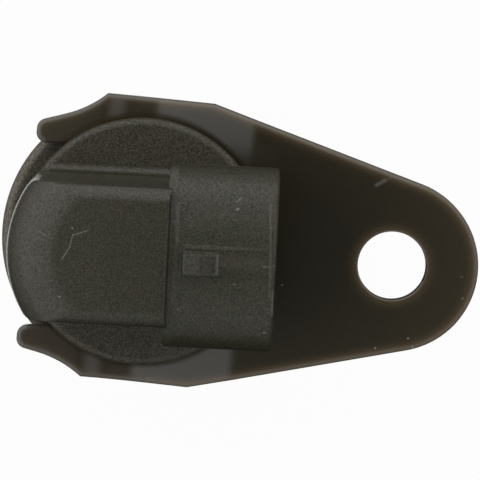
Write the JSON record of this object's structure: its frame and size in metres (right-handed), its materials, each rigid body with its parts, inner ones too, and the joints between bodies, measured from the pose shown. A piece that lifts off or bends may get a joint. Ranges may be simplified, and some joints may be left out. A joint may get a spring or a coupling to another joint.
{
  "type": "crankshaft position sensor",
  "caption": "Inductive engine speed sensor: sealed barrel with a coil and magnet inside, side connector socket, and a bowed steel fork plate that bolts it down.",
  "frame": {"origin": "on the barrel's axis, in the plane of the flange's underside", "axes": "+Z along the barrel up to the connector, +X along the socket out of its mouth"},
  "size_m": [0.0477, 0.0289, 0.0582],
  "materials": {
    "moulded_nylon": "black glass-filled nylon, fine spark-eroded grain",
    "coated_steel": "smooth black e-coat on steel sheet",
    "seal_rubber": "black moulded rubber",
    "nose_nylon": "black nylon",
    "bobbin_plastic": "natural nylon",
    "copper_wire": "enamelled copper wire",
    "wrap_film": "amber film tape",
    "pole_iron": "turned soft iron",
    "magnet_alloy": "ground magnet alloy",
    "tinned_brass": "tin-plated brass"
  },
  "bodies": {
    "root": {"housing": "moulded_nylon", "mounting_plate": "coated_steel", "o_ring": "seal_rubber", "nose_cap": "nose_nylon", "bobbin": "bobbin_plastic", "coil": "copper_wire", "coil_tape": "wrap_film", "pole_piece": "pole_iron", "magnet": "magnet_alloy", "terminal_left": "tinned_brass", "terminal_right": "tinned_brass", "lead_left": "copper_wire", "lead_right": "copper_wire"}
  },
  "joints": []
}
